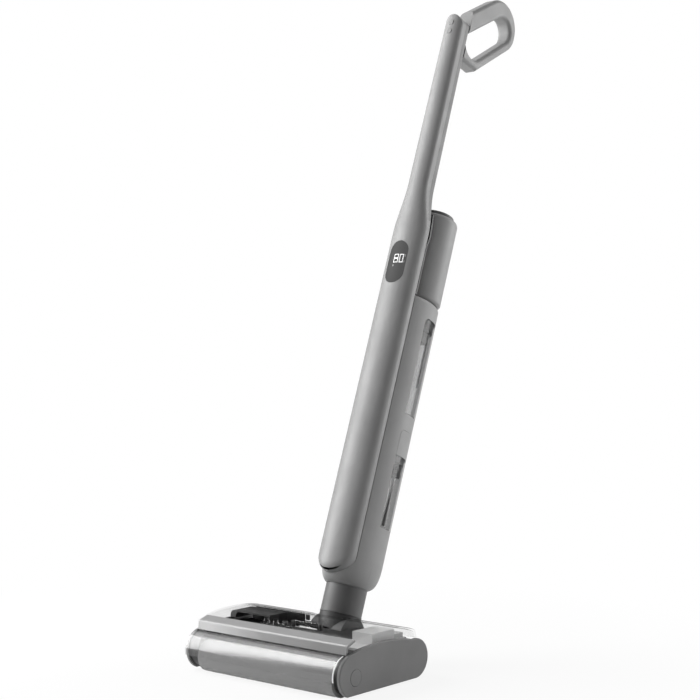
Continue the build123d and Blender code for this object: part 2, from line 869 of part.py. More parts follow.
# Wheels: hub, tyre and axle on each side
for side, x in (("left", -wheel_x), ("right", wheel_x)):
    with BuildPart() as wheel_hub:
        with BuildSketch(across(x - wheel_width / 2)):
            with Locations((wheel_y, wheel_radius)):
                Circle(wheel_radius - tyre_thickness)
                Circle(wheel_axle_radius + run_gap, mode=Mode.SUBTRACT)
        extrude(amount=wheel_width)
    save(wheel_hub.part, f"wheel_{side}")
    with BuildPart() as tyre:
        with BuildSketch(across(x - wheel_width / 2)):
            with Locations((wheel_y, wheel_radius)):
                Circle(wheel_radius)
                Circle(wheel_radius - tyre_thickness, mode=Mode.SUBTRACT)
        extrude(amount=wheel_width)
    save(tyre.part, f"tyre_{side}")
axle_length = 2 * lug_shift + lug_thickness
with BuildPart() as wheel_axles:
    for x in (-wheel_x, wheel_x):
        with BuildSketch(across(x - axle_length / 2)):
            with Locations((wheel_y, wheel_radius)):
                Circle(wheel_axle_radius)
        extrude(amount=axle_length)
save(wheel_axles.part, "wheel_axles")

# Recline pins, fixed in the cheeks and free in the yoke
with BuildPart() as pivot_pins:
    for start in (-cheek_outer, barrel_half - pivot_pin_grip):
        with BuildSketch(across(start)):
            with Locations((pivot_y, pivot_z)):
                Circle(pivot_pin_radius)
        extrude(amount=cheek_outer - barrel_half + pivot_pin_grip)
save(pivot_pins.part, "pivot_pins")


def up(w):
    """Plane square to the body's axis, w above the recline pin."""
    return body_plane.offset(w)


# Yoke: a cross barrel on the pins with the neck's stub and spigot
with BuildPart() as tilt_yoke:
    with BuildSketch(across(-barrel_half)):
        with Locations((pivot_y, pivot_z)):
            Circle(barrel_radius)
    extrude(amount=2 * barrel_half)
    with BuildSketch(up(0)):
        Circle(neck_radius)
        Rectangle(2 * barrel_half, far, mode=Mode.INTERSECT)
    extrude(amount=yoke_height)
    with BuildSketch(up(yoke_height)):
        Circle(spigot_radius)
    extrude(amount=spigot_height)
    with BuildSketch(up(0)):
        Circle(yoke_bore)
    extrude(amount=far, mode=Mode.SUBTRACT)
    with BuildSketch(Plane.XZ.offset(-pivot_y)):
        with Locations((0, pivot_z)):
            Circle(yoke_bore - wall)
    extrude(amount=far, mode=Mode.SUBTRACT)
    for start in (-barrel_half, barrel_half - pivot_pin_grip - fit_gap):
        with BuildSketch(across(start)):
            with Locations((pivot_y, pivot_z)):
                Circle(pivot_pin_radius + run_gap)
        extrude(amount=pivot_pin_grip + fit_gap, mode=Mode.SUBTRACT)
save(tilt_yoke.part, "tilt_yoke")

ring_low = yoke_height + fit_gap
with BuildPart() as swivel_ring:
    with BuildSketch(up(ring_low)):
        Circle(neck_radius + ring_proud)
        Circle(spigot_radius + run_gap, mode=Mode.SUBTRACT)
    extrude(amount=ring_height)
save(swivel_ring.part, "swivel_ring")

with BuildPart() as neck_tube:
    with BuildSketch(up(ring_low + ring_height)):
        Circle(neck_radius)
        Circle(spigot_radius + run_gap, mode=Mode.SUBTRACT)
    extrude(amount=neck_top - ring_low - ring_height)
save(neck_tube.part, "neck_tube")


def body_oval(inset, front=None, rear=None):
    """Oval of the body, or one that lies the inset inside it, kept behind front and before rear."""
    with BuildSketch() as oval:
        with Locations((0, body_back_shift)):
            Ellipse(body_half_width - inset, body_half_depth - inset)
        if front is not None:
            with Locations((0, front)):
                Rectangle(far, far, align=(Align.CENTER, Align.MAX), mode=Mode.SUBTRACT)
        if rear is not None:
            with Locations((0, rear)):
                Rectangle(far, far, align=(Align.CENTER, Align.MIN), mode=Mode.SUBTRACT)
    return oval.sketch


# Rear housing: round bottom on the neck, open front for the spine, two bays at the back for the tanks
bowl_height = bowl_top - body_bottom
bay_back = bay_front - bulkhead
housing_front = spine_seam_gap - spine_rear
with BuildPart() as rear_housing:
    with BuildSketch(up(bowl_top)):
        add(body_oval(0))
    extrude(amount=pod_seam - bowl_top)
    fillet(rear_housing.faces().sort_by(Axis.Z)[-1].edges(), housing_round)
    for share in (0, 0.3, 0.62, 1):
        rounding = sqrt(1 - (1 - share) ** 2)
        with BuildSketch(up(body_bottom + bowl_height * share)):
            with Locations((0, body_back_shift * rounding)):
                Ellipse(
                    bowl_join_radius + (body_half_width - bowl_join_radius) * rounding,
                    bowl_join_radius + (body_half_depth - bowl_join_radius) * rounding,
                )
    loft()
    # Front cavity, full depth where no bay lies behind it
    with BuildSketch(up(bowl_top)):
        add(body_oval(wall, rear=bay_back))
    extrude(amount=pod_seam - shelf - bowl_top, mode=Mode.SUBTRACT)
    for low, high in (
        (bowl_top, clean_bay_bottom - shelf),
        (clean_bay_top + shelf, dirty_bay_bottom - shelf),
        (dirty_bay_top + shelf, pod_seam - shelf),
    ):
        with BuildSketch(up(low)):
            add(body_oval(wall))
        extrude(amount=high - low, mode=Mode.SUBTRACT)
    # Room inside the round bottom, and the open front that the spine closes
    with BuildSketch(up(body_bottom + wall)):
        Circle(bowl_join_radius - wall)
    extrude(amount=bowl_height, mode=Mode.SUBTRACT)
    with BuildSketch(front_plane.offset(-housing_front)):
        with Locations((0, spine_bottom + spine_half_width)):
            Circle(spine_half_width + seat_gap)
            Rectangle(2 * (spine_half_width + seat_gap), 2 * far, align=(Align.CENTER, Align.MIN))
    extrude(amount=far, mode=Mode.SUBTRACT)
    # Tank bays
    for low, high in ((clean_bay_bottom, clean_bay_top), (dirty_bay_bottom, dirty_bay_top)):
        with BuildSketch(side_plane) as bay:
            with Locations((bay_front, low)):
                Rectangle(far, high - low, align=(Align.MIN, Align.MIN))
            fillet(bay.vertices().group_by(Axis.X)[0].sort_by(Axis.Y)[-1], bay_corner)
        extrude(amount=far, both=True, mode=Mode.SUBTRACT)
    # Way in for the suction pipe, and the air's way up into the motor pod
    with BuildSketch(up(body_bottom)):
        with Locations((0, pipe_back)):
            Circle(pipe_radius)
    extrude(amount=bowl_height, mode=Mode.SUBTRACT)
    with BuildSketch(up(pod_seam - shelf)):
        with Locations((0, motor_back)):
            Circle(air_hole_radius)
    extrude(amount=shelf, mode=Mode.SUBTRACT)
save(rear_housing.part, "rear_housing")


def spine_section(half, bulge, front, rear, corner, inset=0.0):
    """Section of the spine or stick: oval front, straight sides, flat back with round corners."""
    half_in = half - inset
    middle = bulge - front
    back = -rear - inset
    with BuildSketch() as section:
        with BuildLine():
            nose = EllipticalCenterArc((0, middle), half_in, bulge - inset, start_angle=180, arc_size=180)
            right = Line(nose @ 1, (half_in, back))
            rear_line = Line(right @ 1, (-half_in, back))
            Line(rear_line @ 1, nose @ 0)
        make_face()
        fillet(section.vertices().group_by(Axis.Y)[-1], max(corner - inset, spine_corner))
    return section.sketch


def shoulder_section(share, inset=0.0):
    """Section at a share of the way up the shoulder, easing from the spine into the stick."""
    ease = share * share * (3 - 2 * share)
    return spine_section(
        spine_half_width + (stick_half_width - spine_half_width) * ease,
        spine_bulge + (stick_bulge - spine_bulge) * ease,
        spine_front + (stick_front - spine_front) * ease,
        spine_rear + (stick_rear - spine_rear) * ease,
        spine_corner + (stick_corner - spine_corner) * ease,
        inset,
    )


def spine_form(inset, bottom, top):
    """Solid form of the spine with its stick, or of the hollow that lies the inset inside it."""
    open_back = spine_rear - 6 * inset
    with BuildPart() as form:
        with BuildSketch(up(bottom)):
            add(spine_section(spine_half_width, spine_bulge, spine_front, open_back, spine_corner, inset))
        extrude(amount=shoulder_low - bottom)
        for step in range(shoulder_steps + 1):
            share = step / shoulder_steps
            with BuildSketch(up(shoulder_low + (shoulder_high - shoulder_low) * share)):
                add(shoulder_section(share, inset))
        loft()
        with BuildSketch(up(shoulder_high)):
            add(shoulder_section(1, inset))
        with BuildSketch(up(top)):
            add(
                spine_section(
                    stick_top_half_width, stick_bulge, stick_front, stick_top_rear, stick_corner, inset
                )
            )
        loft(ruled=True)
        # Round bottom tip
        tip = spine_half_width - inset
        with BuildSketch(front_plane):
            with Locations((0, bottom)):
                Rectangle(far, tip, align=(Align.CENTER, Align.MIN))
            with Locations((0, bottom + tip)):
                Circle(tip, mode=Mode.SUBTRACT)
        extrude(amount=far, both=True, mode=Mode.SUBTRACT)
        if not inset:
            low_edges = form.faces().sort_by(Axis.Z)[0].edges()
            fillet([edge for edge in low_edges if (edge @ 0.5 - pivot).dot(back_axis) < -spine_rear - 1], spine_tip_round)
    return form.part


outer_form = spine_form(0.0, spine_bottom, stick_top)
inner_form = spine_form(wall, spine_bottom + wall, stick_top - stick_top_half_width)
display_mid = (display_low + display_high) / 2


def stick_dome():
    """What is cut away above the stick's round top."""
    with BuildPart() as dome:
        with BuildSketch(front_plane):
            with Locations((0, stick_top)):
                Rectangle(far, 2 * stick_top_half_width, align=(Align.CENTER, Align.CENTER))
            with Locations((0, stick_top - stick_top_half_width)):
                Circle(stick_top_half_width, mode=Mode.SUBTRACT)
                Rectangle(far, far, align=(Align.CENTER, Align.MAX), mode=Mode.SUBTRACT)
        extrude(amount=far, both=True)
    return dome.part


with BuildPart() as spine_shell:
    add(outer_form)
    add(inner_form, mode=Mode.SUBTRACT)
    add(stick_dome(), mode=Mode.SUBTRACT)
    # The stick's back is a piece of its own
    with BuildSketch(side_plane):
        with Locations((-stick_split, stick_back_low)):
            Rectangle(far, 2 * far, align=(Align.MIN, Align.MIN))
    extrude(amount=far, both=True, mode=Mode.SUBTRACT)
    # Windows for the display and the two buttons
    with BuildSketch(front_plane):
        with Locations((0, display_mid)):
            SlotOverall(display_length + 2 * seat_gap, 2 * (display_half_width + seat_gap), rotation=90)
        with Locations((0, power_button_at), (0, mode_button_at)):
            Circle(button_radius + seat_gap)
    extrude(amount=far, mode=Mode.SUBTRACT)
save(spine_shell.part, "spine_shell")

with BuildPart() as stick_back:
    add(outer_form)
    add(inner_form, mode=Mode.SUBTRACT)
    add(stick_dome(), mode=Mode.SUBTRACT)
    with BuildSketch(side_plane):
        with Locations((seat_gap - stick_split, stick_back_low + seat_gap)):
            Rectangle(far, 2 * far, align=(Align.MIN, Align.MIN))
    extrude(amount=far, both=True, mode=Mode.INTERSECT)
save(stick_back.part, "stick_back")

with BuildPart() as display_lens:
    add(outer_form)
    add(inner_form, mode=Mode.SUBTRACT)
    with BuildSketch(front_plane):
        with Locations((0, display_mid)):
            SlotOverall(display_length, 2 * display_half_width, rotation=90)
    extrude(amount=far, mode=Mode.INTERSECT)
save(display_lens.part, "display_lens")

for name, at in (("power_button", power_button_at), ("mode_button", mode_button_at)):
    with BuildPart() as button:
        with BuildSketch(front_plane.offset(stick_front + button_proud)):
            with Locations((0, at)):
                Circle(button_radius)
        extrude(amount=-button_depth)
        fillet(button.faces().sort_by(Axis.Y)[0].edges(), button_proud)
    save(button.part, name)

# Motor pod behind the shoulder, its cap and what is inside
pod_bottom = pod_seam + pod_seam_gap


def pod_front_cut(shift):
    """What lies in front of the pod's front wall, which slopes back beside the stick."""
    with BuildPart() as cut:
        with BuildSketch(side_plane):
            with BuildLine():
                Polyline(
                    (housing_front + shift, pod_seam - far),
                    (housing_front + shift, pod_slope_start),
                    (shift - pod_top_front, pod_top),
                    (shift - pod_top_front, pod_top + far),
                    (-far, pod_top + far),
                    (-far, pod_seam - far),
                    close=True,
                )
            make_face()
        extrude(amount=far, both=True)
    return cut.part


def pod_drum(inset):
    """Drum of the motor pod, or its hollow, which lies the inset inside it."""
    with BuildPart() as drum:
        with BuildSketch(up(pod_bottom + inset)):
            with Locations((0, pod_back)):
                Circle(pod_radius - inset)
        extrude(amount=pod_top - pod_bottom - 2 * inset)
        fillet(drum.faces().sort_by(Axis.Z)[-1].edges(), pod_edge_round - inset)
        fillet(drum.faces().sort_by(Axis.Z)[0].edges(), pod_foot_round - inset)
        add(pod_front_cut(inset), mode=Mode.SUBTRACT)
    return drum.part


# Motor pod: a drum with a plate and a web before it, which close the back of the spine's shoulder
plate_half = spine_half_width - pod_plate_inset
with BuildPart() as motor_pod:
    with BuildSketch(front_plane):
        with BuildLine():
            Polyline(
                (-plate_half, pod_bottom),
                (plate_half, pod_bottom),
                (plate_half, shoulder_low),
                (pod_plate_top_half, pod_top - pod_edge_round),
                (-pod_plate_top_half, pod_top - pod_edge_round),
                (-plate_half, shoulder_low),
                close=True,
            )
        make_face()
    extrude(amount=far, both=True)
    add(pod_front_cut(pod_plate), mode=Mode.INTERSECT)
    add(pod_front_cut(0), mode=Mode.SUBTRACT)
    with BuildSketch(up(pod_bottom)):
        with Locations((0, housing_front)):
            Rectangle(2 * pod_web_half, pod_back - housing_front, align=(Align.CENTER, Align.MIN))
    extrude(amount=pod_slope_start - pod_bottom)
    add(pod_drum(0))
    add(pod_drum(wall), mode=Mode.SUBTRACT)
    with BuildSketch(up(pod_bottom)):
        with Locations((0, motor_back)):
            Circle(air_hole_radius)
    extrude(amount=2 * wall, mode=Mode.SUBTRACT)
save(motor_pod.part, "motor_pod")

with BuildPart() as pod_cap:
    with BuildSketch(up(pod_top)):
        with Locations((0, pod_back)):
            Circle(pod_radius - pod_cap_inset)
    extrude(amount=pod_cap_height)
    fillet(pod_cap.faces().sort_by(Axis.Z)[-1].edges(), pod_cap_height / 3)
save(pod_cap.part, "pod_cap")


def body_ring(low, high, radius, bore, side=0.0, back=0.0):
    """Round piece along the body's axis, bored through when a bore is given."""
    with BuildPart() as ring:
        with BuildSketch(up(low)):
            with Locations((side, back)):
                Circle(radius)
                if bore:
                    Circle(bore, mode=Mode.SUBTRACT)
        extrude(amount=high - low)
    return ring.part


with BuildPart() as suction_motor:
    add(body_ring(motor_low, motor_high, motor_radius, 0, 0, motor_back))
    add(
        body_ring(motor_low, motor_low + fan_shaft_length, fan_shaft_radius + run_gap, 0, 0, motor_back),
        mode=Mode.SUBTRACT,
    )
save(suction_motor.part, "suction_motor")

fan_top = motor_low - fan_gap
fan_bottom = fan_top - fan_height
with BuildPart() as fan_impeller:
    add(body_ring(fan_bottom, fan_bottom + wall, fan_radius, 0, 0, motor_back))
    add(body_ring(fan_bottom, fan_top, fan_hub_radius, 0, 0, motor_back))
    with BuildSketch(up(fan_bottom)):
        with Locations((0, motor_back)):
            with PolarLocations((fan_radius + fan_hub_radius) / 2 - wall / 2, fan_blades):
                Rectangle(fan_radius - fan_hub_radius, fan_blade_thickness, rotation=24)
    extrude(amount=fan_height)
    add(
        body_ring(
            fan_bottom, motor_low + fan_shaft_length - fit_gap, fan_shaft_radius, 0, 0, motor_back
        )
    )
save(fan_impeller.part, "fan_impeller")

filter_low = motor_high + filter_gap
save(body_ring(filter_low, filter_low + filter_height, filter_radius, 0, 0, motor_back), "exhaust_filter")

# Inside the spine and the front cavity: cells, boards, suction pipe and water pump
with BuildPart() as battery_pack:
    with BuildSketch(up(battery_low)):
        with Locations((0, battery_thickness / 2 - battery_front)):
            RectangleRounded(2 * battery_half_width, battery_thickness, battery_thickness / 3)
    extrude(amount=battery_high - battery_low)
save(battery_pack.part, "battery_pack")

with BuildPart() as control_board:
    with BuildSketch(up(board_low)):
        with Locations((0, board_thickness / 2 - board_front)):
            Rectangle(2 * board_half_width, board_thickness)
    extrude(amount=board_high - board_low)
save(control_board.part, "control_board")

save(body_ring(pipe_low, pipe_high, pipe_radius, pipe_radius - pipe_wall, 0, pipe_back), "suction_pipe")
save(body_ring(pump_low + bulkhead, pump_low + pump_length, pump_radius, 0, 0, pump_back), "water_pump")


def half_oval(low, high, front, inset):
    """Block of the rear half of the body's oval between two heights."""
    with BuildPart() as block:
        with BuildSketch(up(low)):
            add(body_oval(inset, front=front))
        extrude(amount=high - low)
    return block.part


# Dirty water tank: clear cup, lid with strainer, float on its rod, level probe
tank_front = bay_front + fit_gap
dirty_low = dirty_bay_bottom + fit_gap
dirty_high = dirty_bay_top - fit_gap
with BuildPart() as dirty_tank:
    add(half_oval(dirty_low, dirty_high, tank_front, 0))
    fillet(dirty_tank.edges().filter_by(Axis.X).group_by(Axis.Z)[-1], bay_corner - fit_gap)
    add(half_oval(dirty_low + tank_wall, dirty_high, tank_front + bay_corner, tank_wall), mode=Mode.SUBTRACT)
    add(
        half_oval(dirty_low + tank_wall, dirty_high - bay_corner - tank_wall, tank_front + tank_wall, tank_wall),
        mode=Mode.SUBTRACT,
    )
save(dirty_tank.part, "dirty_tank")

lid_low = dirty_high - dirty_lid_height
lid_front = tank_front + bay_corner + seat_gap
rod_low = float_low - fit_gap
with BuildPart() as dirty_tank_lid:
    add(half_oval(lid_low, dirty_high, lid_front, tank_wall + seat_gap))
    add(body_ring(rod_low, lid_low, float_rod_radius, 0, float_side, float_back))
    add(body_ring(rod_low - wall, rod_low, 2 * float_rod_radius, 0, float_side, float_back))
save(dirty_tank_lid.part, "dirty_tank_lid")

with BuildPart() as strainer:
    with BuildSketch(up(lid_low - strainer_height)):
        with Locations((probe_side - strainer_half_width / 2, float_back)):
            RectangleRounded(strainer_half_width, strainer_depth, wall)
        with Locations((probe_side, probe_back)):
            Circle(probe_radius + seat_gap, mode=Mode.SUBTRACT)
    extrude(amount=strainer_height)
save(strainer.part, "strainer")

save(
    body_ring(float_low, float_low + float_height, float_radius, float_rod_radius + 2 * run_gap, float_side, float_back),
    "tank_float",
)
save(body_ring(probe_low, lid_low, probe_radius, 0, probe_side, probe_back), "level_probe")

# Clean water tank: clear cup, opaque cap with a push latch, valve and pickup tube
clean_low = clean_bay_bottom + fit_gap
cap_low = clean_window_top + seat_gap
cap_high = clean_bay_top - fit_gap
with BuildPart() as clean_tank:
    add(half_oval(clean_low, clean_window_top, tank_front, 0))
    add(
        half_oval(clean_low + tank_wall, clean_window_top, tank_front + tank_wall, tank_wall),
        mode=Mode.SUBTRACT,
    )
save(clean_tank.part, "clean_tank")

latch_mid = (latch_low + latch_high) / 2
latch_height = latch_high - latch_low
body_rear = body_back_shift + body_half_depth


def latch_prism(gap):
    """Prism of the push latch, or of its opening when a gap is given."""
    with BuildPart() as prism:
        with BuildSketch(front_plane):
            with Locations((0, latch_mid)):
                RectangleRounded(2 * (latch_half_width + gap), latch_height + 2 * gap, wall + gap)
        extrude(amount=-far)
    return prism.part


plug_inset = tank_wall + seat_gap
plug_front = tank_front + plug_inset
with BuildPart() as clean_tank_cap:
    add(half_oval(cap_low, cap_high, tank_front, 0))
    fillet(clean_tank_cap.edges().filter_by(Axis.X).group_by(Axis.Z)[-1], bay_corner - fit_gap)
    add(half_oval(cap_low - cap_plug, cap_low, plug_front, plug_inset))
    with BuildPart(mode=Mode.PRIVATE) as pocket:
        add(latch_prism(fit_gap))
        with BuildSketch(side_plane):
            with Locations((body_rear - latch_pocket, latch_mid)):
                Rectangle(far, far, align=(Align.MIN, Align.CENTER))
        extrude(amount=far, both=True, mode=Mode.INTERSECT)
    add(pocket.part, mode=Mode.SUBTRACT)
save(clean_tank_cap.part, "clean_tank_cap")

with BuildPart() as tank_latch:
    add(half_oval(latch_low - 1, latch_high + 1, body_rear - latch_depth, 0))
    add(latch_prism(0), mode=Mode.INTERSECT)
save(tank_latch.part, "tank_latch")

valve_top = cap_low - cap_plug
with BuildPart() as pickup_tube:
    add(body_ring(valve_top - valve_height, valve_top, valve_radius, 0, pickup_side, pickup_back))
    add(body_ring(clean_low + tank_wall + pickup_clear, valve_top, pickup_radius, 0, pickup_side, pickup_back))
save(pickup_tube.part, "pickup_tube")

# Handle loop: a slanted ring behind the stick's top
with BuildSketch() as hole:
    with BuildLine():
        Polyline(
            (-hole_front, hole_front_low),
            (hole_rear, hole_rear_low),
            (hole_rear, hole_rear_high),
            (-hole_front, hole_front_high),
            close=True,
        )
    make_face()
    corners = hole.vertices().sort_by(Axis.Y)
    fillet(corners[0], hole_heel_round)
    fillet(hole.vertices().sort_by(Axis.X)[-2:], hole_rear_round)
low_run = Vector(hole_rear + hole_front, hole_rear_low - hole_front_low).normalized()
top_run = Vector(hole_rear + hole_front, hole_rear_high - hole_front_high).normalized()
low_corner = Vector(hole_rear, hole_rear_low) + Vector(low_run.Y, -low_run.X) * handle_low_bar
top_corner = Vector(hole_rear, hole_rear_high) + Vector(-top_run.Y, top_run.X) * handle_top_bar
with BuildSketch() as outer_loop:
    with BuildLine():
        Polyline(
            low_corner - low_run * far,
            low_corner + low_run * far,
            top_corner + top_run * far,
            top_corner - top_run * far,
            close=True,
        )
    make_face()
    with Locations((fit_gap - stick_rear, handle_foot)):
        Rectangle(
            hole_rear + handle_rear_bar + stick_rear - fit_gap,
            2 * far,
            align=(Align.MIN, Align.MIN),
            mode=Mode.INTERSECT,
        )
    fillet(outer_loop.vertices().group_by(Axis.X)[-1].sort_by(Axis.Y)[0], handle_low_round)
    fillet(outer_loop.vertices().sort_by(Axis.Y)[-1], handle_top_round)
with BuildPart() as handle_loop:
    with BuildSketch(side_plane.offset(-handle_half_width)):
        add(outer_loop.sketch)
        add(hole.sketch, mode=Mode.SUBTRACT)
    extrude(amount=2 * handle_half_width)
    rims = handle_loop.faces().filter_by(Axis.X).edges()
    fillet([edge for edge in rims if (edge @ 0.5 - pivot).dot(back_axis) > 1 - stick_rear], handle_edge_round)
save(handle_loop.part, "handle_loop")
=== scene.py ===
"""Dresses the wet and dry floor scrubber: a finish for every piece, the nap of the roller, the
display's digits, the small details under the clear cover and a painted highlight on the edge
of the roller shield.
Metres, floor at zero, roller to -Y."""

import math

import bpy
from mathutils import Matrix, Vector


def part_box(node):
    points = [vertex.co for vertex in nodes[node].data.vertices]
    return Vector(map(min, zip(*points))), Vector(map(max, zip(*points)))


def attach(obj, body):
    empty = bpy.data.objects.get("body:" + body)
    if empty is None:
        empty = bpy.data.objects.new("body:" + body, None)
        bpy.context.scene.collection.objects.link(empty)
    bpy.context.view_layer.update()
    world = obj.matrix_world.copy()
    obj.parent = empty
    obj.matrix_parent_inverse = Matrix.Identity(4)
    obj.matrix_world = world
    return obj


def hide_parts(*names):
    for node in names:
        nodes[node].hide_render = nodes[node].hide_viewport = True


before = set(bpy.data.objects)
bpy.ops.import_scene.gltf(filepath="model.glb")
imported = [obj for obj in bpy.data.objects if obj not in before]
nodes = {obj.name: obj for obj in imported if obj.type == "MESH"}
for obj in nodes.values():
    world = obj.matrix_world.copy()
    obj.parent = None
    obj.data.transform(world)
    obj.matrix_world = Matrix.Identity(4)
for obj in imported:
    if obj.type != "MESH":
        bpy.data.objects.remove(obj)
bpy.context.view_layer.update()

lean = math.radians(20)  # the body leans back on its recline pin
recline_pin = Vector((0, 0.1128, 0.044))
drum_back = 0.0143  # axis of the motor pod's drum behind that of the body
drum_radius = 0.037
seal_from = 0.054  # behind this Y the deck is the seal wall
shelf_from = 0.085  # right of this X it is the pale shelf

# Patterns on the mouldings: scales in features per metre, and how high the grain stands
mottle_scale = 14
gloss_scale = 45
cloud_scale = 20
haze_scale = 60
pattern_band = (0.3, 0.7)  # nearly all of a noise pattern lies between these values
grain_scale = 2600
grain_depth = 0.00006
grain_strength = 0.25


# Selection and edit mode, as by hand
def clear_selection():
    """Leaves edit mode and deselects everything."""
    if bpy.context.mode != "OBJECT":
        bpy.ops.object.mode_set(mode="OBJECT")
    bpy.ops.object.select_all(action="DESELECT")


def pick_edges(piece, wanted):
    """Edit mode with only those edges selected whose two ends pass wanted."""
    bpy.ops.object.mode_set(mode="EDIT")
    bpy.ops.mesh.select_mode(type="EDGE")
    bpy.ops.mesh.select_all(action="DESELECT")
    bpy.ops.object.mode_set(mode="OBJECT")
    points = piece.data.vertices
    for edge in piece.data.edges:
        edge.select = wanted(points[edge.vertices[0]].co, points[edge.vertices[1]].co)
    bpy.ops.object.mode_set(mode="EDIT")


def name_piece(name):
    """Names the piece that was just added."""
    piece = bpy.context.active_object
    piece.name = name
    piece.data.name = name
    return piece


def settle(piece, on_body=False):
    """Puts a piece's place into its mesh. A piece of the body is drawn upright on the recline pin
    and then leant back."""
    clear_selection()
    piece.select_set(True)
    bpy.context.view_layer.objects.active = piece
    bpy.ops.object.transform_apply(location=True, rotation=True, scale=True)
    if on_body:
        piece.rotation_euler = (-lean, 0, 0)
        piece.location = recline_pin
        bpy.ops.object.transform_apply(location=True, rotation=True, scale=True)


def finish_piece(piece, body, finish, smooth=40):
    """Shades a settled piece smooth up to that angle in degrees, gives it its finish and lets it
    ride its body."""
    clear_selection()
    piece.select_set(True)
    bpy.context.view_layer.objects.active = piece
    bpy.ops.object.shade_smooth_by_angle(angle=math.radians(smooth))
    piece.data.materials.clear()
    piece.data.materials.append(finish)
    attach(piece, body)
    piece.select_set(False)


# Finishes
def grey(level):
    """A neutral grey of that brightness on the 0 to 255 scale, as linear light."""
    return [((level / 255 + 0.055) / 1.055) ** 2.4] * 3 + [1.0]


def start_finish(name):
    """A material with its shader wired up and Object coordinates at hand."""
    finish = bpy.data.materials.new(name)
    finish.use_nodes = True
    tree = finish.node_tree
    tree.nodes.clear()
    output = tree.nodes.new("ShaderNodeOutputMaterial")
    shader = tree.nodes.new("ShaderNodeBsdfPrincipled")
    tree.links.new(shader.outputs["BSDF"], output.inputs["Surface"])
    place = tree.nodes.new("ShaderNodeTexCoord").outputs["Object"]
    return finish, tree, shader, place


def noise(tree, place, scale, detail=2.0):
    """A noise pattern on the piece, its scale in features per metre."""
    pattern = tree.nodes.new("ShaderNodeTexNoise")
    pattern.inputs["Scale"].default_value = scale
    pattern.inputs["Detail"].default_value = detail
    tree.links.new(place, pattern.inputs["Vector"])
    return pattern.outputs["Fac"]


def between(tree, pattern, low, high):
    """Turns a 0 to 1 pattern into a value between low and high."""
    span = tree.nodes.new("ShaderNodeMapRange")
    span.inputs["From Min"].default_value = pattern_band[0]
    span.inputs["From Max"].default_value = pattern_band[1]
    span.inputs["To Min"].default_value = low
    span.inputs["To Max"].default_value = high
    tree.links.new(pattern, span.inputs["Value"])
    return span.outputs["Result"]


def two_tone(tree, pattern, first, second, band=pattern_band):
    """Blends two colours by a pattern, over that band of its values."""
    ramp = tree.nodes.new("ShaderNodeValToRGB")
    for stop, position, colour in zip(ramp.color_ramp.elements, band, (first, second)):
        stop.position = position
        stop.color = colour
    tree.links.new(pattern, ramp.inputs["Fac"])
    return ramp.outputs["Color"]


def raise_grain(tree, shader, pattern, depth, strength):
    """Lets a pattern stand up from the surface by a small depth in metres."""
    bump = tree.nodes.new("ShaderNodeBump")
    bump.inputs["Distance"].default_value = depth
    bump.inputs["Strength"].default_value = strength
    tree.links.new(pattern, bump.inputs["Height"])
    tree.links.new(bump.outputs["Normal"], shader.inputs["Normal"])


def reckon(tree, operation, value, number):
    """A Math node on a socket and a fixed number."""
    step = tree.nodes.new("ShaderNodeMath")
    step.operation = operation
    step.inputs[1].default_value = number
    tree.links.new(value, step.inputs[0])
    return step.outputs["Value"]


def blend_in(tree, tone, mask, level):
    """Puts one grey over a tone where the mask is 1."""
    blend = tree.nodes.new("ShaderNodeMix")
    blend.data_type = "RGBA"
    tree.links.new(mask, blend.inputs["Factor"])
    tree.links.new(tone, blend.inputs["A"])
    blend.inputs["B"].default_value = grey(level)
    return blend.outputs["Result"]


def mix_shaders(tree, share, first, second):
    """Sends a mix of two shaders to the output, all first at a share of 0 and all second at 1."""
    mix = tree.nodes.new("ShaderNodeMixShader")
    tree.links.new(share, mix.inputs["Fac"])
    tree.links.new(first, mix.inputs[1])
    tree.links.new(second, mix.inputs[2])
    output = next(node for node in tree.nodes if node.bl_idname.startswith("ShaderNodeOutput"))
    tree.links.new(mix.outputs["Shader"], output.inputs["Surface"])


def mottled(tree, place, level, spread=4):
    """A grey with a faint mottling."""
    mottle = noise(tree, place, mottle_scale, detail=3)
    return two_tone(tree, mottle, grey(level - spread), grey(level + spread))


def moulded(name, level, rough, grain=grain_scale, strength=grain_strength):
    """Spark-eroded moulded plastic: a fine even grain, a faint mottling and small changes of
    gloss."""
    finish, tree, shader, place = start_finish(name)
    tree.links.new(mottled(tree, place, level), shader.inputs["Base Color"])
    sheen = noise(tree, place, gloss_scale, detail=4)
    gloss = between(tree, sheen, rough - 0.05, rough + 0.05)
    tree.links.new(gloss, shader.inputs["Roughness"])
    raise_grain(tree, shader, noise(tree, place, grain, detail=1), grain_depth, strength)
    return finish


def polish(tree, shader, place, low, high, rough):
    """Gives a clear shader its faintly clouded tone and its faintly hazed gloss."""
    cloud = noise(tree, place, cloud_scale, detail=2)
    tree.links.new(two_tone(tree, cloud, grey(low), grey(high)), shader.inputs["Base Color"])
    haze = noise(tree, place, haze_scale, detail=2)
    gloss = between(tree, haze, max(rough - 0.02, 0.0), rough + 0.02)
    tree.links.new(gloss, shader.inputs["Roughness"])


